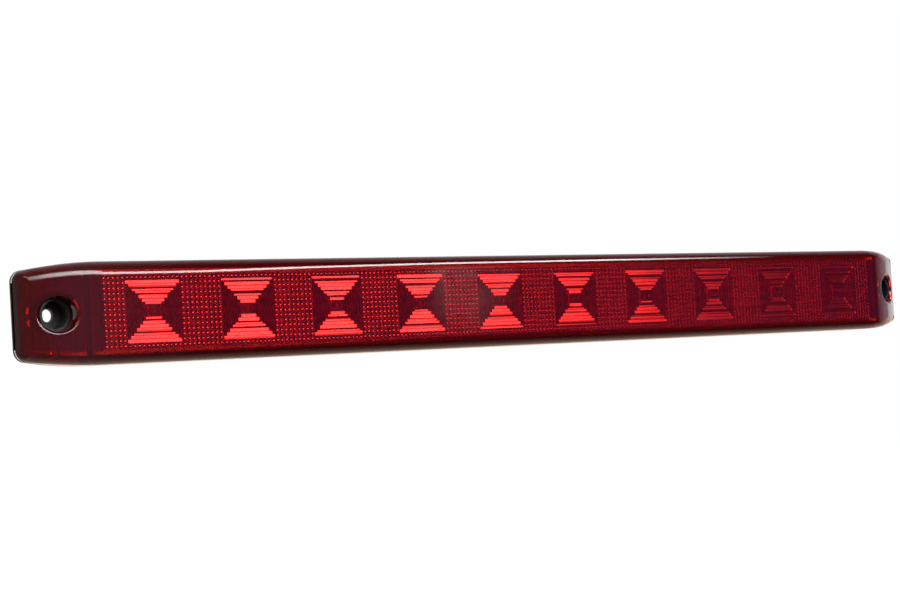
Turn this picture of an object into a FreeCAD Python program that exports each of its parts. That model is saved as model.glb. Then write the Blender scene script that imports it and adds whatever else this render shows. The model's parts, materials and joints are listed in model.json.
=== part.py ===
"""Third brake light: a slim red bar lamp, screwed to a vehicle through an ear at each end.

Frame: X along the bar, +Z up, and the lamp shines along -Y. The origin is on the flat back face,
midway between the two screw holes. All lengths are millimetres.
"""

import FreeCAD, Part
import math
import os
import re

import Sketcher

# Driving dimensions: alias, value, what it is.
DIMENSIONS = (
    ("overall_length", 378.6, "end to end"),
    ("overall_height", 30.0, "top to bottom"),
    ("overall_depth", 12.0, "back face to front face"),
    ("taper_start", 165.0, "half length where the long edges start to curve in"),
    ("taper_radius", 125.0, "large arc that narrows each ear"),
    ("corner_radius", 3.6, "corners of the front outline"),
    ("ear_start", 164.5, "half length where the front starts to curve back"),
    ("ear_radius", 38.0, "arc of the front over each ear"),
    ("edge_round", 4.4, "rounding all round the front"),
    ("hole_spacing", 357.0, "between the two screw holes"),
    ("screw_hole", 3.8, "screw hole through the housing, diameter"),
    ("sleeve_bore", 8.2, "room for the screw head inside the housing's sleeve, diameter"),
    ("sleeve_front", 6.0, "front of the sleeve, from the back face"),
    ("well_bore", 10.0, "well through the lens, round the sleeve, diameter"),
    ("well_wall", 1.6, "wall of the well"),
    ("rib", 1.0, "thickness of the lens rib above and below each well"),
    ("rib_height", 24.4, "bottom of the lower rib to top of the upper rib"),
    ("rim_round", 0.8, "rounded mouth of the well"),
    ("front_wall", 2.5, "lens thickness at the front"),
    ("side_wall", 1.8, "lens thickness round the housing plate"),
    ("rim", 1.5, "housing rim that the edge of the lens stands on"),
    ("ledge", 1.2, "step inside the lens that the seal bears on"),
    ("plate", 2.2, "housing plate thickness"),
    ("seal", 0.8, "compressed thickness of the chamber seal"),
    ("play", 0.1, "gap between lens and housing plate"),
    ("tray_front", 9.0, "front of the tray wall round the lamp chamber, from the back face"),
    ("tray_wall", 1.0, "thickness of the tray wall"),
    ("bulkhead_at", 169.2, "half length of the lamp chamber"),
    ("bulkhead", 1.6, "thickness of the lens bulkhead at each end of the chamber"),
    ("bulkhead_foot", 1.2, "how far each bulkhead runs into the lens wall"),
    ("lamp_pitch", 33.0, "between neighbouring LEDs"),
    ("lamp_count", 10.0, "number of LEDs"),
    ("prism_side", 18.36, "side of the square prism over each LED"),
    ("prism_rise", 1.1, "how far the square prism hollows the lens"),
    ("board_length", 322.0, "circuit board"),
    ("board_height", 20.0, "circuit board"),
    ("board_thick", 1.2, "circuit board"),
    ("board_gap", 1.4, "between housing plate and circuit board"),
    ("board_window", 9.0, "hole in the board for the wires, diameter"),
    ("package_side", 5.0, "LED package"),
    ("package_thick", 1.3, "LED package"),
    ("dome_radius", 1.7, "LED lens"),
    ("tab_length", 1.2, "LED solder tab"),
    ("tab_width", 1.0, "LED solder tab"),
    ("tab_thick", 0.1, "LED solder tab"),
    ("tab_offset", 1.7, "LED solder tab centre from the LED's middle line"),
    ("tab_reach", 0.4, "how far a tab stands out of the package"),
    ("post_radius", 2.4, "post under each board screw"),
    ("screw_radius", 0.8, "pilot hole of a board screw"),
    ("head_radius", 1.8, "board screw head"),
    ("head_thick", 1.3, "board screw head"),
    ("slot_size", 0.5, "board screw slot, width and depth"),
    ("pin_radius", 1.0, "locating pin for the board"),
    ("pin_height", 6.5, "locating pin above the lamp's middle line"),
    ("terminal_radius", 0.7, "solder pin for a wire"),
    ("terminal_spacing", 15.0, "between the two solder pins"),
    ("terminal_stand", 2.2, "solder pin in front of the board"),
    ("wire_hole", 2.4, "wire passage in the grommet, diameter"),
    ("wire_spacing", 3.6, "between the two wire passages"),
    ("neck_radius", 4.0, "grommet where it passes through the plate"),
    ("flange_radius", 5.5, "grommet flange on the back"),
    ("lip_radius", 5.0, "grommet lip inside the lamp"),
    ("flange_thick", 1.0, "grommet flange and lip"),
    ("resistor_length", 6.3, "resistor"),
    ("resistor_height", 3.2, "resistor"),
    ("resistor_thick", 0.6, "resistor"),
    ("resistor_low", 6.0, "resistors below the lamp's middle line"),
    ("diode_length", 4.4, "polarity diode"),
    ("diode_height", 2.7, "polarity diode"),
    ("diode_thick", 2.2, "polarity diode"),
    ("suppressor_length", 4.4, "surge suppressor"),
    ("suppressor_height", 3.6, "surge suppressor"),
    ("suppressor_thick", 2.3, "surge suppressor"),
    ("guard_offset", 13.0, "diode and suppressor to either side of the lamp's middle"),
    ("guard_high", 6.6, "diode and suppressor above the lamp's middle line"),
    ("slack", 0.2, "assembly clearance on a radius"),
)
ALIASES = {alias for alias, _, _ in DIMENSIONS}
WORD = re.compile(r"[a-z_]+")

SHEET = "dims"
OUT = "parts"
SIDES = (("left", -1), ("right", 1))
FORWARD = FreeCAD.Rotation(FreeCAD.Vector(1, 0, 0), 90)  # local Z becomes -Y, local Y becomes Z

# Depths are measured forward from the back face.
SEAL_FRONT = "(plate + seal)"
BOARD_BACK = "(plate + board_gap)"
BOARD_FRONT = "(plate + board_gap + board_thick)"
WELL_RADIUS = "(well_bore / 2 + well_wall)"
POST_STEPS = (-4, -2, 2, 4)  # board screws, in LED pitches from the middle
PIN_STEPS = (-1, 1)  # locating pins, likewise
RESISTOR_STEPS = (-3.25, -2.75, 2.75, 3.25)  # resistors, likewise
BEYOND = 1.0  # how far a cutting tool runs past what it cuts
BURIED = 0.5  # how far a raised feature is sunk into what carries it

doc = FreeCAD.newDocument("third_brake_light")
sheet = doc.addObject("Spreadsheet::Sheet", SHEET)


def fill_sheet():
    """Writes each driving dimension as text, with its alias."""
    for row, (alias, value, note) in enumerate(DIMENSIONS, start=1):
        sheet.set(f"A{row}", note)
        sheet.set(f"B{row}", str(value))
        sheet.setAlias(f"B{row}", alias)
    doc.recompute()


def dim(alias):
    """The number in a sheet cell."""
    return float(sheet.get(alias))


def on_sheet(text):
    """The same expression with each alias read from the sheet."""
    return WORD.sub(lambda m: f"{SHEET}.{m.group()}" if m.group() in ALIASES else m.group(), str(text))


def bind(obj, prop, text):
    """Binds one property of an object to an expression of the driving dimensions."""
    obj.setExpression(prop, on_sheet(text))


def place(obj, x=0, y=0, z=0, rotation=None):
    """Puts an object at a bound position."""
    obj.Placement = FreeCAD.Placement(FreeCAD.Vector(), rotation or FreeCAD.Rotation())
    for axis, text in zip("xyz", (x, y, z)):
        bind(obj, f"Placement.Base.{axis}", text)


def box(name, x, z, back, front, length, height):
    """A box centred on x and z, between two depths."""
    obj = doc.addObject("Part::Box", name)
    bind(obj, "Length", length)
    bind(obj, "Width", f"({front}) - ({back})")
    bind(obj, "Height", height)
    place(obj, f"({x}) - ({length}) / 2", f"-({front})", f"({z}) - ({height}) / 2")
    return obj


def disc(name, radius, back, front, x=0, z=0):
    """A cylinder along Y, between two depths."""
    obj = doc.addObject("Part::Cylinder", name)
    bind(obj, "Radius", radius)
    bind(obj, "Height", f"({front}) - ({back})")
    place(obj, x, f"-({back})", z, FORWARD)
    return obj


def fuse(name, *parts):
    obj = doc.addObject("Part::MultiFuse", name)
    obj.Shapes = list(parts)
    return obj


def common(name, *parts):
    obj = doc.addObject("Part::MultiCommon", name)
    obj.Shapes = list(parts)
    return obj


def cut(name, base, *tools):
    obj = doc.addObject("Part::Cut", name)
    obj.Base = base
    obj.Tool = tools[0] if len(tools) == 1 else fuse(name + "_tools", *tools)
    return obj


def group(name, *parts):
    """Separate solids that share one node."""
    obj = doc.addObject("Part::Compound", name)
    obj.Links = list(parts)
    return obj


def constrain(sketch, kind, *items, to=None):
    """Adds a constraint, bound to an expression if one is given."""
    index = sketch.addConstraint(Sketcher.Constraint(kind, *items))
    if to is not None:
        sketch.setExpression(f"Constraints[{index}]", on_sheet(to))


def body_sketch(body, name, depth="0", role="XZ_Plane"):
    """A sketch on one of a body's own origin planes, moved forward to a depth."""
    sketch = body.newObject("Sketcher::SketchObject", name)
    plane = next(p for p in body.Origin.OriginFeatures if p.Role == role)
    sketch.AttachmentSupport = [(plane, "")]
    sketch.MapMode = "FlatFace"
    bind(sketch, "AttachmentOffset.Base.z", depth)
    return sketch


def pad(body, sketch, length):
    """Raises a body's sketch forward, towards -Y."""
    feature = body.newObject("PartDesign::Pad", sketch.Name + "_pad")
    feature.Profile = sketch
    bind(feature, "Length", length)
    doc.recompute()


def pocket(body, sketch, depth=None):
    """Cuts a body from a sketch backwards, towards +Y, right through if no depth is given."""
    before = body.Shape.Volume
    feature = body.newObject("PartDesign::Pocket", sketch.Name + "_pocket")
    feature.Profile = sketch
    if depth is None:
        feature.Type = "ThroughAll"
    else:
        bind(feature, "Length", depth)
    doc.recompute()
    if body.Shape.Volume >= before:
        raise RuntimeError(f"{feature.Name} cuts nothing")


def circles(sketch, radius, places):
    """Adds a circle of one bound radius at each bound (x, z)."""
    for x, z in places:
        index = sketch.addGeometry(Part.Circle(FreeCAD.Vector(), FreeCAD.Vector(0, 0, 1), 1.0), False)
        constrain(sketch, "Radius", index, 1.0, to=radius)
        constrain(sketch, "DistanceX", -1, 1, index, 3, 1.0, to=x)
        constrain(sketch, "DistanceY", -1, 1, index, 3, 1.0, to=z)
    return sketch


def raised(body, name, radius, back, front, places):
    """Pads round bosses between two depths."""
    pad(body, circles(body_sketch(body, name, back), radius, places), f"({front}) - ({back})")


def drilled(body, name, radius, mouth, places, depth=None):
    """Cuts round holes backwards from a mouth at a depth."""
    pocket(body, circles(body_sketch(body, name, mouth), radius, places), depth)


def arc(centre_x, centre_y, radius, start, end):
    """A counter-clockwise sketch arc, angles in degrees."""
    circle = Part.Circle(FreeCAD.Vector(centre_x, centre_y, 0), FreeCAD.Vector(0, 0, 1), radius)
    return Part.ArcOfCircle(circle, math.radians(start), math.radians(end))


def line(start_x, start_y, end_x, end_y):
    """A straight in a sketch."""
    return Part.LineSegment(FreeCAD.Vector(start_x, start_y, 0), FreeCAD.Vector(end_x, end_y, 0))


def rectangle(sketch, length, height):
    """Draws a rectangle centred on the origin: right side, top, left side, bottom."""
    corners = ((1, -1), (1, 1), (-1, 1), (-1, -1))
    sketch.addGeometry([line(*corners[i], *corners[(i + 1) % 4]) for i in range(4)], False)
    for i in range(4):
        constrain(sketch, "Coincident", i, 2, (i + 1) % 4, 1)
        constrain(sketch, "Vertical" if i % 2 == 0 else "Horizontal", i)
    for side, sign in ((0, 1), (2, -1)):
        constrain(sketch, "DistanceX", -1, 1, side, 1, sign, to=f"{sign} * ({length}) / 2")
        constrain(sketch, "DistanceY", -1, 1, side, 1, -sign, to=f"{-sign} * ({height}) / 2")
    return sketch


def outline(sketch, *insets):
    """Draws the lamp's front outline, moved inwards by the sum of the named dimensions.

    Anti-clockwise from the upper right corner arc: corner, taper arc, top, taper arc, corner, left end,
    and the same again along the bottom.
    """
    gap = sum(dim(alias) for alias in insets)
    inwards = "".join(f" - {alias}" for alias in insets)
    half_x = dim("overall_length") / 2 - gap
    half_z = dim("overall_height") / 2 - gap
    start = dim("taper_start")
    taper = dim("taper_radius") - gap
    corner = dim("corner_radius") - gap
    reach = half_x - corner - start
    drop = math.sqrt((taper - corner) ** 2 - reach**2)
    end_z = half_z - taper + drop
    lean = math.degrees(math.atan2(drop, reach))

    pieces = []
    for turn, sign in ((0, 1), (180, -1)):
        corner_x, taper_z = sign * (half_x - corner), sign * (half_z - taper)
        pieces += [
            arc(corner_x, sign * end_z, corner, turn, turn + lean),
            arc(sign * start, taper_z, taper, turn + lean, turn + 90),
            line(sign * start, sign * half_z, -sign * start, sign * half_z),
            arc(-sign * start, taper_z, taper, turn + 90, turn + 180 - lean),
            arc(-corner_x, sign * end_z, corner, turn + 180 - lean, turn + 180),
            line(-sign * half_x, sign * end_z, -sign * half_x, -sign * end_z),
        ]
    sketch.addGeometry(pieces, False)
    for i in range(len(pieces)):
        constrain(sketch, "Tangent", i, 2, (i + 1) % len(pieces), 1)
    for straight, kind in ((2, "Horizontal"), (8, "Horizontal"), (5, "Vertical"), (11, "Vertical")):
        constrain(sketch, kind, straight)
    for first, *others, value in ((0, 4, 6, 10, "corner_radius"), (1, 3, 7, 9, "taper_radius")):
        constrain(sketch, "Radius", first, dim(value) - gap, to=value + inwards)
        for other in others:
            constrain(sketch, "Equal", first, other)
    bound_x = f"(overall_length / 2{inwards})"
    bound_z = f"(overall_height / 2{inwards})"
    for top, end, sign in ((2, 5, 1), (8, 11, -1)):
        constrain(sketch, "DistanceY", -1, 1, top, 1, sign * half_z, to=f"{sign} * {bound_z}")
        constrain(sketch, "DistanceX", -1, 1, top, 1, sign * start, to=f"{sign} * taper_start")
        constrain(sketch, "DistanceX", -1, 1, top, 2, -sign * start, to=f"{-sign} * taper_start")
        constrain(sketch, "DistanceX", -1, 1, end, 1, -sign * half_x, to=f"{-sign} * {bound_x}")
    return sketch


def outline_solid(name, back, front, *insets):
    """The front outline, moved inwards, as a solid between two depths."""
    body = doc.addObject("PartDesign::Body", name)
    pad(body, outline(body_sketch(body, name + "_outline", back), *insets), f"({front}) - ({back})")
    return body


def plan_solid(name, *insets):
    """All that lies behind the lamp's front surface, moved inwards: flat, with an arc over each ear."""
    gap = sum(dim(alias) for alias in insets)
    inwards = "".join(f" - {alias}" for alias in insets)
    start = dim("ear_start")
    depth = dim("overall_depth") - gap
    radius = dim("ear_radius") - gap
    far = dim("overall_length") / 2 + BEYOND
    swing = math.asin((far - start) / radius)
    edge = radius * math.cos(swing) - radius + depth
    turn = math.degrees(swing)
    body = doc.addObject("PartDesign::Body", name)
    sketch = body_sketch(body, name + "_plan", "-overall_height / 2", "XY_Plane")
    pieces = [
        line(far, -edge, far, BEYOND),
        line(far, BEYOND, -far, BEYOND),
        line(-far, BEYOND, -far, -edge),
        arc(-start, radius - depth, radius, 270 - turn, 270),
        line(-start, -depth, start, -depth),
        arc(start, radius - depth, radius, 270, 270 + turn),
    ]
    sketch.addGeometry(pieces, False)
    for first, second, kind in (
        (0, 1, "Coincident"), (1, 2, "Coincident"), (2, 3, "Coincident"),
        (3, 4, "Tangent"), (4, 5, "Tangent"), (5, 0, "Coincident"),
    ):
        constrain(sketch, kind, first, 2, second, 1)
    constrain(sketch, "Horizontal", 1)
    constrain(sketch, "Vertical", 0)
    constrain(sketch, "Vertical", 2)
    constrain(sketch, "DistanceY", -1, 1, 1, 1, BEYOND)
    bound_far = f"(overall_length / 2 + {BEYOND})"
    for point, sign in ((1, 1), (2, -1)):
        constrain(sketch, "DistanceX", -1, 1, 1, point, sign * far, to=f"{sign} * {bound_far}")
        constrain(sketch, "DistanceY", -1, 1, 4, point, -depth, to=f"-(overall_depth{inwards})")
    for point, sign in ((1, -1), (2, 1)):
        constrain(sketch, "DistanceX", -1, 1, 4, point, sign * start, to=f"{sign} * ear_start")
    for curve in (3, 5):
        constrain(sketch, "Radius", curve, radius, to=f"ear_radius{inwards}")
    pad(body, sketch, "overall_height")
    return body


def round_edges(name, base, picked, radius):
    """A body that takes base and rounds its picked edges to a bound radius."""
    doc.recompute()
    body = doc.addObject("PartDesign::Body", name)
    body.BaseFeature = base
    doc.recompute()
    source = body.Tip
    edges = [f"Edge{i}" for i, edge in enumerate(source.Shape.Edges, start=1) if picked(edge)]
    feature = body.newObject("PartDesign::Fillet", name + "_fillet")
    feature.Base = (source, edges)
    bind(feature, "Radius", radius)
    doc.recompute()
    return body


def front_depth(x):
    """How far the front surface stands in front of the back face, at a place along the bar."""
    past = max(0.0, abs(x) - dim("ear_start"))
    radius = dim("ear_radius")
    return dim("overall_depth") - radius + math.sqrt(max(0.0, radius**2 - past**2))


def along(edge):
    """Points spread along an edge."""
    span = edge.LastParameter - edge.FirstParameter
    return [edge.valueAt(edge.FirstParameter + part * span) for part in (0, 0.3, 0.6, 1)]


def on_front_rim(edge):
    """True where the front surface meets the outline."""
    return all(abs(-p.y - front_depth(p.x)) < 0.05 for p in along(edge))


def on_well_mouth(edge):
    """True where the front surface meets the bore of a screw head well."""
    ear, bore = dim("hole_spacing") / 2, dim("well_bore") / 2
    round_it = all(abs(math.hypot(abs(p.x) - ear, p.z) - bore) < 0.05 for p in along(edge))
    return round_it and on_front_rim(edge)


def ear_x(sign):
    return f"{sign} * hole_spacing / 2"


def steps_x(steps):
    return f"{steps} * lamp_pitch"


def lamp_places():
    """The bound X of each LED, from left to right."""
    return [f"({i} - (lamp_count - 1) / 2) * lamp_pitch" for i in range(int(dim("lamp_count")))]


def prism(name, x):
    """The square pyramid that hollows the back of the lens over one LED."""
    obj = doc.addObject("Part::Wedge", name)
    for prop in ("Xmin", "Zmin", "Ymin"):
        bind(obj, prop, "0")
    for prop in ("Xmax", "Zmax"):
        bind(obj, prop, "prism_side")
    for prop in ("X2min", "X2max", "Z2min", "Z2max"):
        bind(obj, prop, "prism_side / 2")
    bind(obj, "Ymax", "prism_rise")
    half_turn = FreeCAD.Rotation(FreeCAD.Vector(0, 0, 1), 180)
    place(obj, f"{x} + prism_side / 2", "front_wall - overall_depth", "-prism_side / 2", half_turn)
    return obj


def make_lens():
    """Red moulded lens: front, side walls, bulkheads, and an ear with a ribbed well at each end."""
    front_view = outline_solid("lens_outline", "rim", "overall_depth")
    blank = common("lens_blank", front_view, plan_solid("lens_plan"))
    rounded = round_edges("lens_rounded", blank, on_front_rim, "edge_round")
    hollow = common(
        "lens_hollow",
        outline_solid("hollow_outline", "0", "overall_depth", "side_wall", "ledge"),
        plan_solid("hollow_plan", "front_wall"),
    )
    recess = outline_solid("lens_recess", "0", SEAL_FRONT, "side_wall")
    rib_limit = plan_solid("rib_limit", "bulkhead_foot")
    added = [cut("lens_shell", rounded, hollow, recess)]
    bores = []
    for side, sign in SIDES:
        well = disc(f"well_{side}", WELL_RADIUS, SEAL_FRONT, "overall_depth", ear_x(sign))
        added.append(common(f"well_{side}_trimmed", well, rounded))
        rib = box(f"rib_{side}_blank", ear_x(sign), 0, SEAL_FRONT, "overall_depth", "rib", "rib_height")
        added.append(common(f"rib_{side}", rib, rib_limit))
        middle = f"{sign} * (bulkhead_at + bulkhead / 2)"
        front = "overall_depth - bulkhead_foot"
        height = "overall_height - 2 * (side_wall + ledge - bulkhead_foot)"
        bulkhead = box(f"bulkhead_{side}_blank", middle, 0, SEAL_FRONT, front, "bulkhead", height)
        added.append(common(f"bulkhead_{side}", bulkhead, rounded))
        bores.append(disc(f"bore_{side}", "well_bore / 2", -BEYOND, f"overall_depth + {BEYOND}", ear_x(sign)))
    prisms = [prism(f"prism_{i}", x) for i, x in enumerate(lamp_places(), start=1)]
    opened = cut("lens_opened", fuse("lens_solid", *added), *bores, *prisms)
    return round_edges("lens", opened, on_well_mouth, "rim_round")


def make_tray(body):
    """Raises the housing's wall round the lamp chamber, just inside the lens."""
    length = "2 * (bulkhead_at - slack)"
    height = "overall_height - 2 * (side_wall + ledge + slack)"
    outside = rectangle(body_sketch(body, "tray_outside", f"plate - {BURIED}"), length, height)
    pad(body, outside, f"tray_front - plate + {BURIED}")
    inside = body_sketch(body, "tray_inside", "tray_front")
    rectangle(inside, f"{length} - 2 * tray_wall", f"{height} - 2 * tray_wall")
    pocket(body, inside, "tray_front - plate")


def make_housing():
    """Black housing that closes the lens: rim, plate, tray, ear sleeves, board posts, grommet seat."""
    body = outline_solid("housing", "0", "rim")
    plate = outline(body_sketch(body, "plate_outline", f"rim - {BURIED}"), "side_wall", "play")
    pad(body, plate, f"plate - rim + {BURIED}")
    make_tray(body)
    ears = [(ear_x(sign), "0") for _, sign in SIDES]
    posts = [(steps_x(steps), "0") for steps in POST_STEPS]
    pins = [(steps_x(steps), "pin_height") for steps in PIN_STEPS]
    raised(body, "ear_collars", WELL_RADIUS, BURIED, SEAL_FRONT, ears)
    raised(body, "ear_sleeves", "well_bore / 2 - play", BURIED, "sleeve_front", ears)
    raised(body, "board_posts", "post_radius", BURIED, BOARD_BACK, posts)
    raised(body, "locating_pins", "pin_radius", BURIED, f"{BOARD_FRONT} + {BURIED}", pins)
    drilled(body, "sleeve_bores", "sleeve_bore / 2", "sleeve_front", ears, "sleeve_front - rim")
    drilled(body, "screw_holes", "screw_hole / 2", "rim", ears)
    drilled(body, "pilot_holes", "screw_radius", BOARD_BACK, posts, f"{BOARD_BACK} - {BURIED}")
    drilled(body, "grommet_hole", "neck_radius", "plate", [("0", "0")])
    drilled(body, "grommet_recess", "flange_radius + slack", "flange_thick", [("0", "0")])
    return body


def make_seal():
    """Rubber seal between housing plate and lens: a rectangular ring round the lamp chamber."""
    length = "2 * (bulkhead_at + bulkhead)"
    opening = "overall_height - 2 * (side_wall + ledge)"
    blank = box("seal_blank", 0, 0, "plate", SEAL_FRONT, length, "overall_height")
    window = box("seal_window", 0, 0, "0", "overall_depth", "2 * bulkhead_at", opening)
    limit = outline_solid("seal_limit", "plate", SEAL_FRONT, "side_wall", "play")
    return common("chamber_seal", cut("seal_ring", blank, window), limit)


def make_grommet():
    """Rubber grommet in the housing plate, with a passage for each of the two wires."""
    body = doc.addObject("PartDesign::Body", "wire_grommet")
    middle = [("0", "0")]
    lip_back, lip_front = "plate", "plate + flange_thick"
    raised(body, "grommet_flange", "flange_radius", "play", "flange_thick", middle)
    raised(body, "grommet_neck", "neck_radius", BURIED, lip_front, middle)
    raised(body, "grommet_lip", "lip_radius", lip_back, lip_front, middle)
    passages = [(f"{sign} * wire_spacing / 2", "0") for _, sign in SIDES]
    drilled(body, "wire_passages", "wire_hole / 2", lip_front, passages)
    return body


def make_board():
    """Circuit board with holes for the wires, the screws, the locating pins and the solder pins."""
    body = doc.addObject("PartDesign::Body", "circuit_board")
    edge = rectangle(body_sketch(body, "board_outline", BOARD_BACK), "board_length", "board_height")
    pad(body, edge, "board_thick")
    for name, radius, places in (
        ("wire_window", "board_window / 2", [("0", "0")]),
        ("screw_clearances", "screw_radius + slack", [(steps_x(steps), "0") for steps in POST_STEPS]),
        ("pin_clearances", "pin_radius + slack", [(steps_x(steps), "pin_height") for steps in PIN_STEPS]),
        ("terminal_holes", "terminal_radius", [(f"{sign} * terminal_spacing / 2", "0") for _, sign in SIDES]),
    ):
        drilled(body, name, radius, BOARD_FRONT, places)
    return body


def make_led(name, x):
    """Surface-mounted LED: square package with a round lens."""
    back, front = f"{BOARD_FRONT} + tab_thick", f"{BOARD_FRONT} + tab_thick + package_thick"
    package = box(name + "_package", x, 0, back, front, "package_side", "package_side")
    dome = doc.addObject("Part::Sphere", name + "_dome")
    dome.Angle1 = 0
    bind(dome, "Radius", "dome_radius")
    place(dome, x, f"-({front} - tab_thick)", 0, FORWARD)
    return fuse(name, package, dome)


def make_led_tabs():
    """Tinned solder tabs of all the LEDs, two under each side of a package."""
    tabs = []
    for i, x in enumerate(lamp_places(), start=1):
        for side, sign in SIDES:
            for row, up in (("upper", 1), ("lower", -1)):
                middle = f"{x} + {sign} * (package_side / 2 + tab_reach - tab_length / 2)"
                name = f"tab_{i}_{side}_{row}"
                z, front = f"{up} * tab_offset", f"{BOARD_FRONT} + tab_thick"
                tabs.append(box(name, middle, z, BOARD_FRONT, front, "tab_length", "tab_width"))
    return group("led_solder_tabs", *tabs)


def make_chip(name, kind, x, z):
    """A rectangular component on the front of the board, of its kind's size."""
    return box(name, x, z, BOARD_FRONT, f"{BOARD_FRONT} + {kind}_thick", f"{kind}_length", f"{kind}_height")


def make_terminal(name, sign):
    """Brass solder pin for one wire, through the board, with a collar on its front."""
    x = f"{sign} * terminal_spacing / 2"
    tip = f"{BOARD_FRONT} + terminal_stand"
    pin = disc(name + "_pin", "terminal_radius", f"{BOARD_BACK} - {BURIED}", tip, x)
    collar = disc(name + "_collar", "2 * terminal_radius", BOARD_FRONT, f"{BOARD_FRONT} + {BURIED}", x)
    return fuse(name, pin, collar)


def make_screws():
    """The slotted screws that hold the board to its posts, one solid each."""
    screws = []
    top = f"{BOARD_FRONT} + head_thick"
    for i, steps in enumerate(POST_STEPS, start=1):
        name = f"board_screw_{i}"
        x = steps_x(steps)
        shank = disc(name + "_shank", "screw_radius", 2 * BURIED, f"{BOARD_FRONT} + {BURIED}", x)
        head = disc(name + "_head", "head_radius", BOARD_FRONT, top, x)
        slot_foot, slot_top = f"{top} - slot_size", f"{top} + {BEYOND}"
        slot = box(name + "_slot", x, 0, slot_foot, slot_top, "2 * head_radius", "slot_size")
        screws.append(cut(name, fuse(name + "_solid", shank, head), slot))
    return group("board_screws", *screws)


def make_parts():
    """Every sub-part; each one's name is its node's name."""
    makers = (make_lens, make_housing, make_seal, make_grommet, make_board, make_led_tabs, make_screws)
    found = [make() for make in makers]
    found += [make_led(f"led_{i:02d}", x) for i, x in enumerate(lamp_places(), start=1)]
    for i, steps in enumerate(RESISTOR_STEPS, start=1):
        found.append(make_chip(f"resistor_{i}", "resistor", steps_x(steps), "-resistor_low"))
    found.append(make_chip("polarity_diode", "diode", "-guard_offset", "guard_high"))
    found.append(make_chip("surge_suppressor", "suppressor", "guard_offset", "guard_high"))
    found += [make_terminal("supply_terminal", -1), make_terminal("ground_terminal", 1)]
    return found


def check_document():
    """Stops if any object of the document failed."""
    bad = [obj.Label for obj in doc.Objects if {"Invalid", "Error"} & set(obj.State)]
    if bad:
        raise RuntimeError(f"these objects failed: {bad}")


def export(found):
    """Checks every sub-part, then writes one STEP file for each."""
    for obj in found:
        obj.Label = obj.Name
        shape = obj.Shape
        if shape.isNull() or not shape.isValid() or not shape.Solids:
            raise RuntimeError(f"{obj.Label} has no valid solid")
    os.makedirs(OUT, exist_ok=True)
    for obj in found:
        obj.Shape.exportStep(os.path.join(OUT, obj.Label + ".step"))
        print(f"{obj.Label}: {len(obj.Shape.Solids)} solid(s), {obj.Shape.Volume:.1f} mm3")


fill_sheet()
sub_parts = make_parts()
doc.recompute()
check_document()
export(sub_parts)
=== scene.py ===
"""Third brake light: a slim red bar lamp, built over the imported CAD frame.

The frame is the CAD's: X along the bar, the lamp shines along -Y, +Z up. Shapes are worked out in
millimetres and turned into metres as each mesh is made.
"""
import json
import math

import bmesh
import bpy
from mathutils import Matrix, Vector
from mathutils.geometry import delaunay_2d_cdt


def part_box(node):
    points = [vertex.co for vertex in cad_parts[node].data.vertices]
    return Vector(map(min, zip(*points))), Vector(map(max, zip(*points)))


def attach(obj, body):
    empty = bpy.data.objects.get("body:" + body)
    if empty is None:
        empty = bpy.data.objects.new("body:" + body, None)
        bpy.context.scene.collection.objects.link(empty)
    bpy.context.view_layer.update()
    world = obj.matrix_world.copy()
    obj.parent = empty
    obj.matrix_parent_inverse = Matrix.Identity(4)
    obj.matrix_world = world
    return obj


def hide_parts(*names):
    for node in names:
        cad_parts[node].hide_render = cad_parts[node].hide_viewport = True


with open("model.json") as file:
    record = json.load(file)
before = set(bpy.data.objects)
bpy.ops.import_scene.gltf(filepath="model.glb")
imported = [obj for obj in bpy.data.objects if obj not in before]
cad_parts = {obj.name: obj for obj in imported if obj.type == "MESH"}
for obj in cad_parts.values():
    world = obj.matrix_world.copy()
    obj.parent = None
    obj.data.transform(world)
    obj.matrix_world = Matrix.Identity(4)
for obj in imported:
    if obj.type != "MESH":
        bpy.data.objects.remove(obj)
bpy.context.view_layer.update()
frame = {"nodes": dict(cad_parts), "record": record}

ROOT = "root"
MM = 0.001

LED_NODES = sorted(name for name in frame["nodes"] if name.startswith("led_") and name[4:].isdigit())
RECORD = frame["record"]


def node_box(name):
    """A CAD node's lowest and highest corners, in millimetres."""
    low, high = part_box(name)
    return [v / MM for v in low], [v / MM for v in high]


def mount(name):
    """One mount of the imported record."""
    return next(m for m in RECORD["mounts"] if m["name"] == name)


# Sizes that the frame holds.
LENS_LOW, LENS_HIGH = node_box("lens")
HALF_LENGTH = LENS_HIGH[0]
HALF_HEIGHT = LENS_HIGH[2]
DEPTH = -LENS_LOW[1]
RIM_DEPTH = -LENS_HIGH[1]
LEDGE_DEPTH = -node_box("chamber_seal")[0][1]
EAR_HOLE_X = mount("mounting_holes")["dims"]["spacing_x_mm"] / 2
LAMP_X = [(node_box(name)[0][0] + node_box(name)[1][0]) / 2 for name in LED_NODES]
LAMP_PITCH = LAMP_X[1] - LAMP_X[0]

# Shape of the lens moulding, in millimetres.
TAPER_START = 165.0
TAPER_RADIUS = 125.0
CORNER = 3.6
EAR_START = 164.5
EAR_RADIUS = 38.0
EDGE_ROUND = 4.4
RIM_ROUND = 1.0
WELL_BORE = 5.0
WELL_WALL = 1.6
RIB = 1.0
FRONT_WALL = 2.5
SIDE_WALL = 1.8
LEDGE = 1.2
BULKHEAD_AT = 169.2
BULKHEAD = 1.6
CAVITY_END = 184.4

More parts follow.
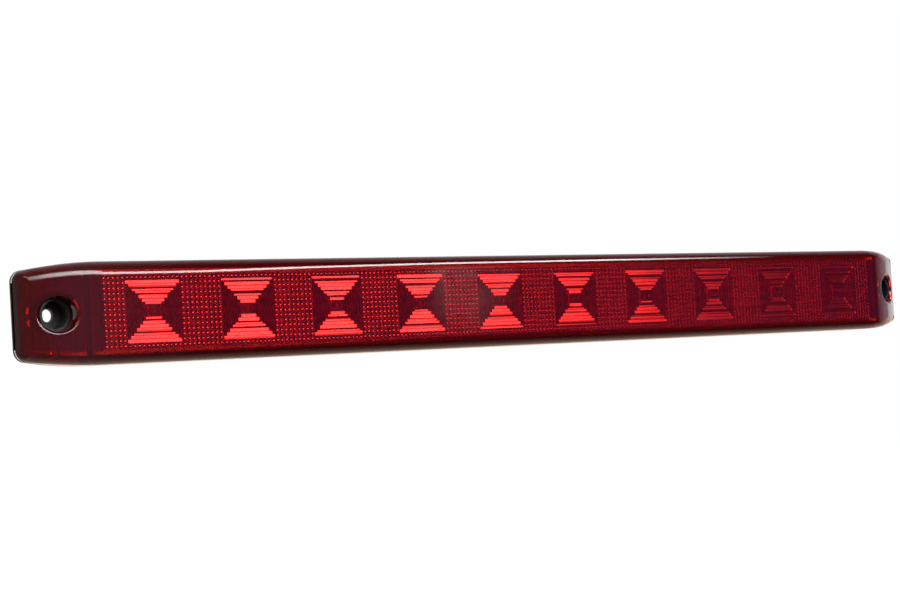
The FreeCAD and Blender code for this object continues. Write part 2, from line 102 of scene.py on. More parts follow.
# Optics on the inside of the lens. A tile is one pillow lens, a cell is the square prism over one LED.
TILES_PER_PITCH = 21.6
TILE = LAMP_PITCH / TILES_PER_PITCH
TILE_ROWS = 14
TILE_COLUMNS = 9
END_COLUMNS = 5
TILE_BULGE = 0.16
TILE_ACROSS = (-1.0, -0.7, -0.3, 0.3, 0.7)  # lines over one tile, from edge to edge
TILE_UPWARD = (-1.0, -0.6, -0.16, 0.16, 0.6)
CELL_TILES = 12
CELL_HALF = CELL_TILES / 2 * TILE
CELL_RINGS = 8
CELL_CORE = 0.6  # half the flat square in the middle
CELL_DARK = 2.6  # inside this, flutes at CORE_ANGLE turn the light straight back
FLUTE_ANGLE = math.radians(42.5)
CORE_ANGLE = math.radians(45)
FLUTE_SPREAD = math.radians(1.3)
FLUTE_STEP = 2.4  # how far the spread moves on from one ring to the next, in radians
LAND = 0.12  # flat strip between a cell and the tiles beside it

# How finely round shapes are divided.
CORNER_STEPS = 12
TAPER_STEPS = 16
EDGE_STEPS = 10
MOUTH_STEPS = 6
WELL_STEPS = 48
EAR_GRID = 1.6
EAR_MARGIN = 0.9
POCKET_MARGIN = 0.8
SURFACE_GAP = 0.002  # a point this near to the front surface lies on it


class Skin:
    """Vertices and faces of one mesh; a point used twice is one vertex."""

    def __init__(self):
        self.points = []
        self.faces = []
        self.index = {}

    def at(self, point):
        """Index of a point, added if it is new."""
        key = tuple(round(v, 3) for v in point)
        if key not in self.index:
            self.index[key] = len(self.points)
            self.points.append(point)
        return self.index[key]

    def face(self, points):
        """One face; corners that coincide count once."""
        corners = []
        for point in points:
            i = self.at(point)
            if i not in corners:
                corners.append(i)
        if len(corners) > 2:
            self.faces.append(corners)

    def strip(self, first, second):
        """Quads between two closed loops of equally many points."""
        for i in range(len(first)):
            j = (i + 1) % len(first)
            self.face([first[i], first[j], second[j], second[i]])

    def grid(self, rows):
        """Quads over a grid of points."""
        for low, high in zip(rows, rows[1:]):
            for i in range(len(low) - 1):
                self.face([low[i], low[i + 1], high[i + 1], high[i]])

    def cap(self, outer, holes, inner, depth):
        """Triangles over the region inside outer and outside holes, lifted to a depth at each place.

        inner is more places in the region that get a vertex.
        """
        flat, edges = [], []
        for loop in [outer, *holes]:
            start = len(flat)
            flat += [Vector(p) for p in loop]
            edges += [(start + i, start + (i + 1) % len(loop)) for i in range(len(loop))]
        flat += [Vector(p) for p in inner]
        points, _, faces, _, _, _ = delaunay_2d_cdt(flat, edges, [], 0, 1e-5)
        for tri in faces:
            x = sum(points[i].x for i in tri) / 3
            z = sum(points[i].y for i in tri) / 3
            if inside(x, z, outer) and not any(inside(x, z, hole) for hole in holes):
                self.face([(points[i].x, -depth(points[i].x), points[i].y) for i in tri])

    def make(self, name, sharp=30.0):
        """The finished object, in metres, with faces turned outwards."""
        mesh = bpy.data.meshes.new(name)
        mesh.from_pydata([[v * MM for v in p] for p in self.points], [], self.faces)
        mesh.validate()
        bm = bmesh.new()
        bm.from_mesh(mesh)
        bmesh.ops.recalc_face_normals(bm, faces=bm.faces)
        if bm.calc_volume(signed=True) < 0:
            bmesh.ops.reverse_faces(bm, faces=bm.faces)
        bm.to_mesh(mesh)
        bm.free()
        for polygon in mesh.polygons:
            polygon.use_smooth = True
        mesh.set_sharp_from_angle(angle=math.radians(sharp))
        obj = bpy.data.objects.new(name, mesh)
        bpy.context.scene.collection.objects.link(obj)
        return obj


def inside(x, z, loop):
    """True if a place lies inside a closed loop."""
    hit = False
    for (x1, z1), (x2, z2) in zip(loop, loop[1:] + loop[:1]):
        if (z1 > z) != (z2 > z) and x < (x2 - x1) * (z - z1) / (z2 - z1) + x1:
            hit = not hit
    return hit


def front_depth(x, inset=0.0):
    """How far the front surface, moved inwards by inset, stands in front of the back face."""
    past = max(0.0, abs(x) - EAR_START)
    radius = EAR_RADIUS - inset
    return DEPTH - EAR_RADIUS + math.sqrt(max(0.0, radius * radius - past * past))


def inner_depth(x):
    """How far the inside of the front wall stands in front of the back face."""
    return front_depth(x, FRONT_WALL)


def front_slope(x):
    """How steeply the front falls away towards the end, as a tangent."""
    past = max(0.0, abs(x) - EAR_START)
    return past / math.sqrt(EAR_RADIUS**2 - past**2)


def make_outline():
    """Points round the front outline with their outward normals: (x, z, normal x, normal z)."""
    reach = HALF_LENGTH - CORNER - TAPER_START
    drop = math.sqrt((TAPER_RADIUS - CORNER) ** 2 - reach**2)
    lean = math.atan2(drop, reach)
    corner = (HALF_LENGTH - CORNER, HALF_HEIGHT - TAPER_RADIUS + drop, CORNER)
    taper = (TAPER_START, HALF_HEIGHT - TAPER_RADIUS, TAPER_RADIUS)
    arcs = [(corner, lean * i / CORNER_STEPS) for i in range(CORNER_STEPS)]
    arcs += [(taper, lean + (math.pi / 2 - lean) * i / TAPER_STEPS) for i in range(TAPER_STEPS + 1)]
    quarter = []
    for (cx, cz, radius), turn in arcs:
        nx, nz = math.cos(turn), math.sin(turn)
        quarter.append((cx + radius * nx, cz + radius * nz, nx, nz))
    half = quarter + [(-x, z, -nx, nz) for x, z, nx, nz in reversed(quarter)]
    return half + [(x, -z, nx, -nz) for x, z, nx, nz in reversed(half)]


OUTLINE = make_outline()


def ring(inset):
    """The outline moved inwards, as (x, z)."""
    return [(x - nx * inset, z - nz * inset) for x, z, nx, nz in OUTLINE]


def clipped_ring(inset, low, high):
    """The part of a moved outline between two places along the bar, closed by upright ends."""
    loop = ring(inset)
    kept = []
    for (x1, z1), (x2, z2) in zip(loop, loop[1:] + loop[:1]):
        if low <= x1 <= high:
            kept.append((x1, z1))
        crossings = [cut for cut in (low, high) if (x1 - cut) * (x2 - cut) < 0]
        for cut in sorted(crossings, key=lambda c: abs(c - x1)):
            kept.append((cut, z1 + (z2 - z1) * (cut - x1) / (x2 - x1)))
    return kept


def rounding(radius, slope, steps):
    """Section of a rounded edge from the wall to the front, as (distance in from the wall, depth).

    Depth counts from where the wall and the front would meet. slope is how steeply the front rises
    going in from the wall.
    """
    tilt = math.atan(slope)
    reach = radius * math.tan((math.pi / 2 - tilt) / 2)
    section = []
    for i in range(steps + 1):
        turn = (math.pi / 2 - tilt) * i / steps
        section.append((radius * (1 - math.cos(turn)), radius * math.sin(turn) - reach))
    return section


def circle(cx, radius):
    """Places round a circle on the lamp's middle line."""
    turns = [2 * math.pi * i / WELL_STEPS for i in range(WELL_STEPS)]
    return [(cx + radius * math.cos(turn), radius * math.sin(turn)) for turn in turns]


def level(loop, depth):
    """A loop of (x, z) at one depth, or at a depth worked out from x."""
    height = depth if callable(depth) else (lambda x: depth)
    return [(x, -height(x), z) for x, z in loop]


def gap(x, z, start, end):
    """Distance from a place to the straight between two others."""
    dx, dz = end[0] - start[0], end[1] - start[1]
    share = ((x - start[0]) * dx + (z - start[1]) * dz) / (dx * dx + dz * dz)
    share = max(0.0, min(1.0, share))
    return math.hypot(x - start[0] - share * dx, z - start[1] - share * dz)


def between(loop, margin, hole=None):
    """Places on a grid inside a loop, and outside a round hole, clear of both by a margin."""
    low, high = min(x for x, z in loop), max(x for x, z in loop)
    sides = [side for side in zip(loop, loop[1:] + loop[:1]) if side[0] != side[1]]
    places = []
    for i in range(int((high - low) / EAR_GRID) + 1):
        for j in range(int(2 * HALF_HEIGHT / EAR_GRID) + 1):
            x, z = low + i * EAR_GRID, -HALF_HEIGHT + (j + 0.5 * (i % 2)) * EAR_GRID
            if hole and math.hypot(x - hole[0], z) < hole[1] + margin:
                continue
            if inside(x, z, loop) and min(gap(x, z, *side) for side in sides) > margin:
                places.append((x, z))
    return places


def add_front(skin):
    """Outside of the lens: side walls, rounded edge, front surface and the wells down to the ledge."""
    sections = [rounding(EDGE_ROUND, front_slope(x) * abs(nx), EDGE_STEPS) for x, z, nx, nz in OUTLINE]
    rings = []
    for step in range(EDGE_STEPS + 1):
        loop = []
        for (x, z, nx, nz), section in zip(OUTLINE, sections):
            inset, rise = section[step]
            px, pz = x - nx * inset, z - nz * inset
            depth = front_depth(x) + rise if step < EDGE_STEPS else front_depth(px)
            loop.append((px, -depth, pz))
        rings.append(loop)
    skin.strip(level(ring(0), RIM_DEPTH), rings[0])
    for low, high in zip(rings, rings[1:]):
        skin.strip(low, high)
    front = [(x, z) for x, y, z in rings[-1]]
    mouths, inner = [], []
    for sign in (-1, 1):
        cx = sign * EAR_HOLE_X
        mouths.append(add_well(skin, cx))
        ear = [(x, z) for x, z in front if sign * x > EAR_START]
        inner += between(ear, EAR_MARGIN, (cx, WELL_BORE + RIM_ROUND))
    skin.cap(front, mouths, inner, front_depth)


def add_well(skin, cx):
    """The bore of one well with its rounded rim; returns the rim's loop on the front surface."""
    outward = math.copysign(1.0, cx)
    loops = [[] for _ in range(MOUTH_STEPS + 1)]
    bore = circle(cx, WELL_BORE)
    for x, z in bore:
        ux, uz = (x - cx) / WELL_BORE, z / WELL_BORE
        section = rounding(RIM_ROUND, -front_slope(x) * ux * outward, MOUTH_STEPS)
        for i, (out, rise) in enumerate(section):
            px, pz = x + ux * out, z + uz * out
            depth = front_depth(x) + rise if i < MOUTH_STEPS else front_depth(px)
            loops[i].append((px, -depth, pz))
    skin.strip(level(bore, LEDGE_DEPTH), loops[0])
    for low, high in zip(loops, loops[1:]):
        skin.strip(low, high)
    return [(x, z) for x, y, z in loops[-1]]


def well_arc(start, end):
    """Places round the outside of the right well, between two angles."""
    radius = WELL_BORE + WELL_WALL
    count = round(WELL_STEPS * abs(end - start) / (2 * math.pi))
    turns = [start + (end - start) * i / count for i in range(count + 1)]
    return [(EAR_HOLE_X + radius * math.cos(turn), radius * math.sin(turn)) for turn in turns]


def ear_pockets():
    """Outlines of the three hollows in the right ear: inwards of the well, and two beyond it."""
    radius = WELL_BORE + WELL_WALL
    rib_turn = math.acos(RIB / 2 / radius)
    end_turn = math.acos((CAVITY_END - EAR_HOLE_X) / radius)
    near = clipped_ring(SIDE_WALL + LEDGE, BULKHEAD_AT + BULKHEAD, EAR_HOLE_X - RIB / 2)
    far = clipped_ring(SIDE_WALL + LEDGE, EAR_HOLE_X + RIB / 2, CAVITY_END)
    upper = [(x, z) for x, z in far if z > 0] + well_arc(rib_turn, end_turn)
    lower = [(x, -z) for x, z in upper]
    return [near + well_arc(rib_turn - math.pi, -math.pi - rib_turn), upper, lower]


def add_back(skin):
    """Back of the lens: rim, recess for the housing plate, ledge, chamber walls and ear hollows."""
    skin.strip(level(ring(0), RIM_DEPTH), level(ring(SIDE_WALL), RIM_DEPTH))
    skin.strip(level(ring(SIDE_WALL), RIM_DEPTH), level(ring(SIDE_WALL), LEDGE_DEPTH))
    chamber = clipped_ring(SIDE_WALL + LEDGE, -BULKHEAD_AT, BULKHEAD_AT)
    floor_depth = DEPTH - FRONT_WALL
    skin.strip(level(chamber, LEDGE_DEPTH), level(chamber, floor_depth))
    holes = [chamber, circle(EAR_HOLE_X, WELL_BORE), circle(-EAR_HOLE_X, WELL_BORE)]
    for sign in (-1, 1):
        for pocket in ear_pockets():
            loop = [(sign * x, z) for x, z in pocket]
            skin.strip(level(loop, LEDGE_DEPTH), level(loop, inner_depth))
            skin.cap(loop, [], between(loop, POCKET_MARGIN), inner_depth)
            holes.append(loop)
    skin.cap(ring(SIDE_WALL), holes, [], lambda x: LEDGE_DEPTH)
    skin.cap(chamber, add_optics(skin, floor_depth), [], lambda x: floor_depth)


def spread(start, end, count, lines):
    """Lines over a row of tiles: (place, where it lies on its own tile, from -1 to 1)."""
    shares = [(i + (u + 1) / 2, u) for i in range(count) for u in lines] + [(count, -1.0)]
    return [(start + (end - start) * share / count, u) for share, u in shares]


def pillows(skin, columns, rows, depth):
    """A field of small pillow lenses, each with a fine ridge on its crown; returns its border.

    columns and rows are each where the field starts, where it ends and how many there are.
    """
    steps = len(TILE_ACROSS)
    middle = steps // 2
    across = spread(*columns, TILE_ACROSS)
    grid = [
        [(x, TILE_BULGE * (1 - u * u) * (1 - v * v) - depth, z) for x, u in across]
        for z, v in spread(*rows, TILE_UPWARD)
    ]
    for j in range(len(grid) - 1):
        for i in range(len(across) - 1):
            low, high = grid[j][i:i + 2], grid[j + 1][i:i + 2]
            if i % steps == middle and j % steps == middle:
                half = (high[0][2] - low[0][2]) / 2
                crest = [(x, y + half * math.tan(FLUTE_ANGLE), z + half) for x, y, z in low]
                flute(skin, low, high, crest)
            else:
                skin.face([*low, *high[::-1]])
    right, left = [row[-1] for row in grid[1:]], [row[0] for row in grid[-2:0:-1]]
    return [(x, z) for x, y, z in grid[0] + right + grid[-1][-2::-1] + left]


def flute(skin, foot_out, foot_in, crest):
    """One roof-shaped flute over its two feet, with a flat face at each end."""
    skin.face([*foot_out, *crest[::-1]])
    skin.face([*crest, *foot_in[::-1]])
    skin.face([foot_out[0], crest[0], foot_in[0]])
    skin.face([foot_out[1], crest[1], foot_in[-1]])


def prism_cell(skin, cx, depth, phase):
    """The square prism over one LED: straight flutes, not all cut to quite one angle, round a flat core.

    The flutes above and below the core run on to the corners, so the upright ones end in steps against
    them. Returns the border.
    """
    pitch = (CELL_HALF - CELL_CORE) / CELL_RINGS
    for k in range(CELL_RINGS):
        outer = CELL_HALF - k * pitch
        inner = outer - pitch
        angle = FLUTE_ANGLE + FLUTE_SPREAD * math.sin(FLUTE_STEP * k + phase)
        if outer < CELL_DARK:
            angle = CORE_ANGLE
        rise = pitch / 2 * math.tan(angle)
        following = max(CELL_CORE, inner - pitch)
        for sign in (-1, 1):
            out, into, middle = sign * outer, sign * inner, sign * (outer - pitch / 2)
            flute(
                skin,
                [(cx + u, -depth, out) for u in (-outer, outer)],
                [(cx + u, -depth, into) for u in (-outer, -inner, inner, outer)],
                [(cx + u, rise - depth, middle) for u in (-outer, outer)],
            )
            flute(
                skin,
                [(cx + out, -depth, u) for u in (-inner, inner)],
                [(cx + into, -depth, u) for u in (-inner, -following, following, inner)],
                [(cx + middle, rise - depth, u) for u in (-inner, inner)],
            )
    skin.face([(cx + x, -depth, z) for x, z in square(CELL_CORE, CELL_CORE)])
    return [(cx + x, z) for x, z in square(CELL_HALF, CELL_HALF - pitch)]


def square(half, notch):
    """Corners of a square, and the two places on each upright side where a flute's end stops."""
    right = [(half, z) for z in (-half, -notch, notch, half)]
    return right + [(-x, -z) for x, z in right]


def add_optics(skin, depth):
    """The LED prisms, a row of pillows above and below each, and the fields between and beside them.

    Returns the border of every patch.
    """
    top = TILE_ROWS / 2 * TILE
    reach = CELL_HALF + LAND
    end = END_COLUMNS * TILE
    borders = []
    for i, x in enumerate(LAMP_X):
        borders.append(prism_cell(skin, x, depth, i))
        over = (x - CELL_HALF, x + CELL_HALF, CELL_TILES)
        for low, high in ((reach, top), (-top, -reach)):
            borders.append(pillows(skin, over, (low, high, 1), depth))
    fields = [(a + reach, b - reach, TILE_COLUMNS) for a, b in zip(LAMP_X, LAMP_X[1:])]
    fields.append((LAMP_X[0] - reach - end, LAMP_X[0] - reach, END_COLUMNS))
    fields.append((LAMP_X[-1] + reach, LAMP_X[-1] + reach + end, END_COLUMNS))
    for columns in fields:
        borders.append(pillows(skin, columns, (-top, top, TILE_ROWS), depth))
    return borders


def front_normals(obj):
    """Gives every corner on the front surface the surface's own normal."""
    mesh = obj.data
    normals = []
    for loop in mesh.loops:
        x, y, z = (v / MM for v in mesh.vertices[loop.vertex_index].co)
        normal = Vector((0, 0, 0))
        if abs(-y - front_depth(x)) < SURFACE_GAP:
            slope = front_slope(x) * math.copysign(1.0, x)
            normal = Vector((slope, -1.0, 0.0)).normalized()
        normals.append(normal)
    mesh.normals_split_custom_set(normals)


def make_lens():
    """The lens moulding, which stands for the CAD lens."""
    skin = Skin()
    add_front(skin)
    add_back(skin)
    lens = skin.make("lens_moulding")
    front_normals(lens)
    lens.data.materials.append(red_lens())
    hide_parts("lens")
    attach(lens, ROOT)


class Graph:
    """Short forms for building a node tree."""

    def __init__(self, tree):
        self.nodes = tree.nodes
        self.links = tree.links

    def feed(self, socket, value):
        """Gives an input a link or a plain value."""
        if isinstance(value, bpy.types.NodeSocket):
            self.links.new(value, socket)
        else:
            socket.default_value = value

    def math(self, operation, *values):
        """A Math node on links or plain values."""
        node = self.nodes.new("ShaderNodeMath")
        node.operation = operation
        for socket, value in zip(node.inputs, values):
            self.feed(socket, value)
        return node.outputs[0]

    def ramp(self, value, *stops, ease=False):
        """A colour ramp; each stop is its place and a grey level or a colour."""
        node = self.nodes.new("ShaderNodeValToRGB")
        node.color_ramp.interpolation = "EASE" if ease else "LINEAR"
        elements = node.color_ramp.elements
        elements.remove(elements[1])
        for i, (place, shade) in enumerate(stops):
            element = elements[0] if i == 0 else elements.new(place)
            element.position = place
            element.color = (*shade, 1) if isinstance(shade, tuple) else (shade, shade, shade, 1)
        self.feed(node.inputs[0], value)
        return node.outputs[0]

    def mix(self, factor, first, second):
        """Blends two colours."""
        node = self.nodes.new("ShaderNodeMix")
        node.data_type = "RGBA"
        for name, value in (("Factor", factor), (6, first), (7, second)):
            self.feed(node.inputs[name], value)
        return node.outputs[2]

    def add(self, first, second):
        """Adds two colours."""
        total = self.mix(1.0, first, second)
        total.node.blend_type = "ADD"
        return total

    def texture(self, kind, place, output, **settings):
        """A procedural texture of the given kind, read at a place."""
        node = self.nodes.new("ShaderNodeTex" + kind)
        self.feed(node.inputs["Vector"], place)
        for key, value in settings.items():
            self.feed(node.inputs[key.replace("_", " ")], value)
        return node.outputs[output]

    def coordinate(self, output):
        """A texture coordinate."""
        return self.nodes.new("ShaderNodeTexCoord").outputs[output]

    def split(self, place):
        """The three parts of a place."""
        node = self.nodes.new("ShaderNodeSeparateXYZ")
        self.feed(node.inputs[0], place)
        return node.outputs


class Finish(Graph):
    """A material with a Principled shader."""

    def __init__(self, name, **values):
        self.material = bpy.data.materials.new(name)
        self.material.use_nodes = True
        super().__init__(self.material.node_tree)
        self.shader = self.nodes["Principled BSDF"]
        self.set(**values)
        self.place = self.coordinate("Object")

    def set(self, **values):
        """Feeds the shader's inputs, named with _ for a space."""
        for key, value in values.items():
            self.feed(self.shader.inputs[key.replace("_", " ")], value)

    def noise(self, scale, detail=3.0):
        """Cloudy noise over the piece."""
        return self.texture("Noise", self.place, 0, Scale=scale, Detail=detail)

    def bump(self, height, strength, distance):
        """Relief from a height; distance is in metres."""
        node = self.nodes.new("ShaderNodeBump")
        for key, value in (("Height", height), ("Strength", strength), ("Distance", distance)):
            self.feed(node.inputs[key], value)
        self.feed(self.shader.inputs["Normal"], node.outputs[0])


def red_lens():
    """Transparent red plastic: faint depth of colour, haze and flow marks from moulding."""
    finish = Finish("red_lens", IOR=1.58, Transmission_Weight=0.95)
    dark, light = (0.78, 0.018, 0.017), (0.84, 0.024, 0.021)
    finish.set(Base_Color=finish.ramp(finish.noise(35.0), (0.3, dark), (0.7, light)))
    finish.set(Roughness=finish.ramp(finish.noise(90.0), (0.4, 0.0), (0.8, 0.035)))
    finish.bump(finish.noise(25.0), 0.05, 0.0004)
    return finish.material


def moulded(name, dark, light, gloss, grain, relief):
    """Moulded plastic or rubber: a fine pebbled grain, cloudy colour and rubbed patches."""
    finish = Finish(name, Specular_IOR_Level=0.3)
    finish.set(Base_Color=finish.ramp(finish.noise(60.0, 5.0), (0.3, dark), (0.7, light)))
    finish.set(Roughness=finish.ramp(finish.noise(25.0, 4.0), (0.35, gloss), (0.65, gloss + 0.2)))
    pebbles = finish.texture("Voronoi", finish.place, "Distance", Scale=grain)
    finish.bump(finish.math("ADD", pebbles, finish.noise(grain * 2)), 0.6, relief)
    return finish.material


def board_laminate():
    """Circuit board: dark solder mask with lighter copper tracks under it and a glass weave."""
    finish = Finish("board_laminate")
    node = finish.nodes.new("ShaderNodeMapping")
    node.inputs["Rotation"].default_value = (math.radians(90), 0, 0)
    finish.feed(node.inputs["Vector"], finish.place)
    tracks = finish.texture(
        "Brick", node.outputs[0], "Fac", Scale=120.0, Mortar_Size=0.09, Brick_Width=1.7, Row_Height=0.42
    )
    mask = finish.ramp(finish.noise(150.0, 4.0), (0.3, (0.07, 0.07, 0.075)), (0.7, (0.11, 0.11, 0.12)))
    finish.set(Base_Color=finish.mix(tracks, mask, (0.16, 0.16, 0.165, 1)))
    finish.set(Roughness=finish.ramp(finish.noise(400.0), (0.3, 0.28), (0.7, 0.45)))
    weave = finish.noise(2500.0, 2.0)
    finish.bump(finish.math("ADD", tracks, finish.math("MULTIPLY", weave, 0.3)), 0.5, 0.00006)
    return finish.material


def metal(name, dark, light, gloss):
    """Plated metal: cloudy colour, fine scratches and uneven polish."""
    finish = Finish(name, Metallic=1.0)
    finish.set(Base_Color=finish.ramp(finish.noise(900.0, 4.0), (0.3, dark), (0.7, light)))
    scratch = finish.texture("Wave", finish.place, "Fac", Scale=900.0, Distortion=9.0, Detail=3.0)
    finish.set(Roughness=finish.ramp(scratch, (0.2, gloss), (0.8, gloss + 0.18)))
    finish.bump(scratch, 0.3, 0.00002)
    return finish.material


def led_body():
    """White LED package, and towards the front its clear dome over a red chip."""
    finish = Finish("led_body", IOR=1.5)
    along = finish.split(finish.coordinate("Generated"))
    white = finish.ramp(finish.noise(700.0), (0.3, (0.66, 0.64, 0.58)), (0.7, (0.8, 0.78, 0.72)))
    dome = finish.ramp(along[1], (0.0, (0.55, 0.06, 0.04)), (0.5, (0.42, 0.36, 0.3)))
    finish.set(Base_Color=finish.mix(finish.ramp(along[1], (0.5, 1.0), (0.56, 0.0)), white, dome))
    finish.set(Roughness=finish.ramp(along[1], (0.5, 0.08), (0.56, 0.4)))
    finish.bump(finish.noise(1500.0), 0.2, 0.00003)
    return finish.material


def chip(name, dark, light):
    """A moulded component with a tinned cap at each end."""
    finish = Finish(name)
    along = finish.split(finish.coordinate("Generated"))[0]
    from_middle = finish.math("ABSOLUTE", finish.math("SUBTRACT", along, 0.5))
    cap = finish.ramp(from_middle, (0.39, 0.0), (0.4, 1.0))
    body = finish.ramp(finish.noise(900.0, 5.0), (0.3, dark), (0.7, light))
    finish.set(Base_Color=finish.mix(cap, body, (0.12, 0.12, 0.12, 1)))
    finish.set(Metallic=cap)
    finish.set(Roughness=finish.ramp(finish.noise(600.0), (0.3, 0.3), (0.7, 0.5)))
    finish.bump(finish.noise(2500.0), 0.4, 0.00003)
    return finish.material


def make_finishes():
    """One material for each slot of the record, apart from the lens."""
    return {
        "black_housing": moulded(
            "black_housing", (0.009, 0.009, 0.01), (0.018, 0.018, 0.019), 0.38, 1500.0, 0.00008
        ),
        "black_rubber": moulded(
            "black_rubber", (0.012, 0.012, 0.012), (0.025, 0.024, 0.023), 0.62, 900.0, 0.00005
        ),
        "board_laminate": board_laminate(),
        "tin_plate": metal("tin_plate", (0.6, 0.6, 0.58), (0.78, 0.78, 0.75), 0.2),
        "black_zinc": metal("black_zinc", (0.03, 0.03, 0.033), (0.06, 0.06, 0.066), 0.3),
        "led_body": led_body(),
        "resistor_body": chip("resistor_body", (0.012, 0.012, 0.014), (0.03, 0.03, 0.034)),
        "component_epoxy": chip("component_epoxy", (0.014, 0.013, 0.012), (0.03, 0.028, 0.027)),
        "brass": metal("brass", (0.3, 0.2, 0.08), (0.4, 0.28, 0.12), 0.4),
    }


def dress_nodes():
    """Gives every CAD node that stays its slot's material."""
    finishes = make_finishes()
    slots = {part["node"]: part["material_slot"] for part in RECORD["subparts"]}
    for name, obj in frame["nodes"].items():
        if name != "lens":
            obj.data.materials.clear()
            obj.data.materials.append(finishes[slots[name]])


# The camera and the floor under the lamp: places are in metres, focal length and sensor in millimetres.
CAMERA_PLACE = (-0.4881, -0.5721, -0.0264)
CAMERA_YAW = math.radians(38.73)
CAMERA_PITCH = math.radians(2.15)
CAMERA_ROLL = math.radians(-3.43)
FOCAL_LENGTH = 89.2
SENSOR_WIDTH = 36
CLIP_END = 20
FLOOR_HALF = 4.0
FLOOR_HEIGHT = -0.25


def make_camera():
    """The camera: to the left of the lamp, a little below it and tilted."""
    data = bpy.data.cameras.new("camera")
    data.lens = FOCAL_LENGTH
    data.sensor_width = SENSOR_WIDTH
    data.clip_end = CLIP_END
    camera = bpy.data.objects.new("camera", data)
    bpy.context.scene.collection.objects.link(camera)
    turn = Matrix.Rotation(-CAMERA_YAW, 3, "Z") @ Matrix.Rotation(math.pi / 2 + CAMERA_PITCH, 3, "X")
    turn = turn @ Matrix.Rotation(CAMERA_ROLL, 3, "Z")
    camera.matrix_world = Matrix.Translation(CAMERA_PLACE) @ turn.to_4x4()
    bpy.context.scene.camera = camera


def make_floor():
    """A plain pale floor, lit so that it runs into the background."""
    mesh = bpy.data.meshes.new("floor")
    signs = ((-1, -1), (1, -1), (1, 1), (-1, 1))
    corners = [(x * FLOOR_HALF, y * FLOOR_HALF, FLOOR_HEIGHT) for x, y in signs]
    mesh.from_pydata(corners, [], [(0, 1, 2, 3)])
    floor = bpy.data.objects.new("floor", mesh)
    bpy.context.scene.collection.objects.link(floor)
    finish = Finish("floor", Base_Color=(0.85, 0.85, 0.85, 1))
    finish.set(Emission_Color=(1, 1, 1, 1), Emission_Strength=1.0)
    mesh.materials.append(finish.material)
    floor.visible_glossy = False
    floor.visible_transmission = False
    floor.visible_diffuse = False


# The studio round the lamp. lean is 0 to the lamp's left and 1 to its right. turn is a share of half
# a turn: 0 is straight ahead of the lamp, it goes up to 1 over the top to behind the lamp, and down to
# -1 underneath. Each tuple of stops is a ramp: (place, level) or (place, colour).

# The strip light: the turn it lies at, its brightness and how sharp its edge is, all over lean, and how
# it fades away from that turn.
STRIP_TURN = (
    (0.35, 0.2), (0.6, 0.17), (0.7, 0.14), (0.735, 0.11), (0.757, 0.115),
    (0.782, 0.22), (0.809, 0.30), (0.827, 0.32), (0.88, 0.385),
)
STRIP_LEAN = ((0.15, 0.0), (0.3, 0.5), (0.6, 0.7), (0.72, 0.7), (0.76, 1.0), (0.84, 1.0), (0.87, 0.0))
STRIP_EDGE = ((0.6, 0.5), (0.7, 0.6), (0.75, 1.0))
STRIP_FADE = ((0.02, 1.0), (0.06, 0.0))
STRIP_POWER = 13.0

# The room's own light, over the size of turn above and below the lamp, and over lean.
AHEAD = (0.06, 0.03, 0.15)
ASIDE = (0.02, 0.015, 0.03)
OVERHEAD = (
    (0.0, AHEAD), (0.15, ASIDE), (0.42, ASIDE),
    (0.6, (0.35, 0.33, 0.36)), (0.9, (0.9, 0.9, 0.9)), (1.0, (1.0, 1.0, 1.0)),
)
UNDERNEATH = (
    (0.0, AHEAD), (0.15, ASIDE), (0.35, ASIDE), (0.6, (0.7, 0.45, 0.36)), (1.0, (1.2, 0.95, 0.8)),
)
ROOM_LEAN = ((0.15, 0.15), (0.4, 1.0))
ROOM_DARK = (0.01, 0.01, 0.01, 1)
ENDS = (
    (0.0, 0.2), (0.12, 0.12), (0.25, 0.1), (0.6, 0.15),
    (0.73, 0.12), (0.76, 0.0), (0.95, 0.0), (1.0, 0.7),
)

# The light that the lens carries: a band a little off straight ahead, which the flutes turn to the
# camera as bars, over the size of turn and over lean.
CARRIED_TURN = (
    (0.0, 0.01), (0.04, 0.02), (0.06, 1.0), (0.14, 1.0), (0.165, 0.02), (0.6, 0.005), (1.0, 0.005),
)
CARRIED_LEAN = (
    (0.3, 0.2), (0.7, 1.0), (0.808, 1.0), (0.83, 0.5), (0.843, 0.22), (0.853, 0.07), (0.863, 0.02),
)
CARRIED_POWER = 6.5

# A small wispy reflection right of the middle, over lean and over turn moved to 0..1.
SMOKE_LEAN = ((0.804, 0.0), (0.81, 1.0), (0.814, 1.0), (0.822, 0.0))
SMOKE_TURN = ((0.506, 0.0), (0.51, 1.0), (0.53, 1.0), (0.56, 0.0))
SMOKE_WISPS = ((0.35, 0.2), (0.65, 1.0))
SMOKE_POWER = 1.3
WHITE = (1, 1, 1, 1)


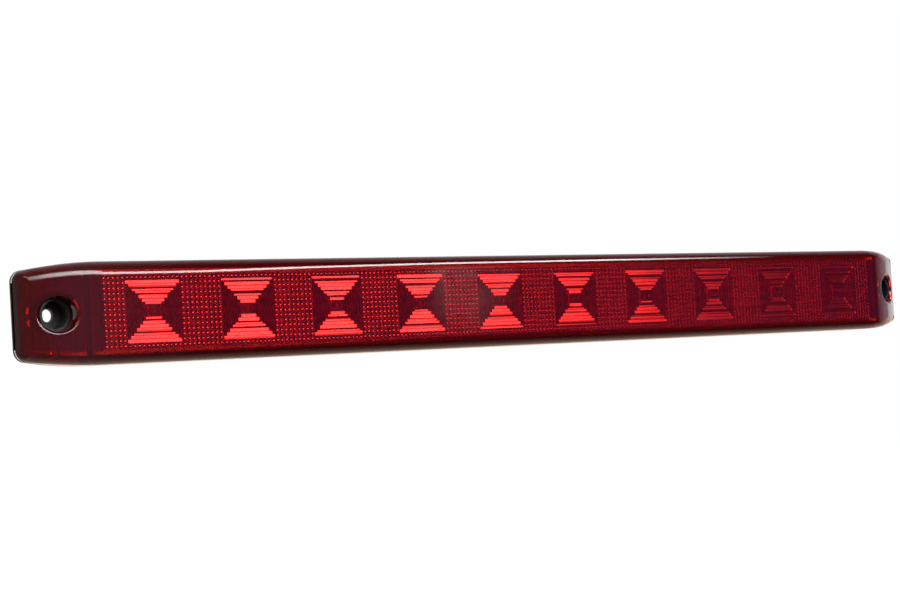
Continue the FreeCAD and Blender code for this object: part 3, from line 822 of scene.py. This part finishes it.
def make_studio():
    """Soft studio light: dark in front of the lamp, white behind it, with a strip light overhead.

    The light that the lens carries back out is set apart from the light that its surface reflects,
    and the background itself shows white.
    """
    world = bpy.data.worlds.new("studio")
    world.use_nodes = True
    graph = Graph(world.node_tree)
    place = graph.coordinate("Generated")
    side, behind, up = graph.split(place)
    lean = graph.math("MULTIPLY_ADD", side, 0.5, 0.5)
    turn = graph.math("DIVIDE", graph.math("ARCTAN2", up, graph.math("MULTIPLY", behind, -1.0)), math.pi)
    size = graph.math("ABSOLUTE", turn)
    off = graph.math("ABSOLUTE", graph.math("SUBTRACT", turn, graph.ramp(lean, *STRIP_TURN)))
    off = graph.math("MULTIPLY", off, graph.ramp(lean, *STRIP_EDGE))
    strip = graph.math("MULTIPLY", graph.ramp(off, *STRIP_FADE, ease=True), STRIP_POWER)
    strip = graph.math("MULTIPLY", strip, graph.ramp(lean, *STRIP_LEAN))
    smoke = graph.math("MULTIPLY", graph.ramp(lean, *SMOKE_LEAN), SMOKE_POWER)
    whole_turn = graph.math("MULTIPLY_ADD", turn, 0.5, 0.5)
    smoke = graph.math("MULTIPLY", smoke, graph.ramp(whole_turn, *SMOKE_TURN))
    wisps = graph.texture("Noise", place, 0, Scale=60.0, Detail=4.0)
    smoke = graph.math("MULTIPLY", smoke, graph.ramp(wisps, *SMOKE_WISPS))
    above = graph.math("GREATER_THAN", turn, 0.0)
    room = graph.mix(above, graph.ramp(size, *UNDERNEATH), graph.ramp(size, *OVERHEAD))
    room = graph.mix(graph.ramp(lean, *ROOM_LEAN), ROOM_DARK, room)
    lamps = graph.math("ADD", graph.math("ADD", strip, smoke), graph.ramp(lean, *ENDS))
    reflected = graph.add(room, lamps)
    carried = graph.math("MULTIPLY", graph.ramp(size, *CARRIED_TURN), CARRIED_POWER)
    carried = graph.math("MULTIPLY", carried, graph.ramp(lean, *CARRIED_LEAN))
    path = graph.nodes.new("ShaderNodeLightPath").outputs
    through = graph.math("GREATER_THAN", path["Transmission Depth"], 0.5)
    light = graph.mix(through, reflected, carried)
    light = graph.mix(path["Is Camera Ray"], light, WHITE)
    graph.feed(graph.nodes["Background"].inputs["Color"], light)
    bpy.context.scene.world = world
    bpy.context.scene.view_settings.view_transform = "Standard"


make_lens()
dress_nodes()
make_camera()
make_floor()
make_studio()
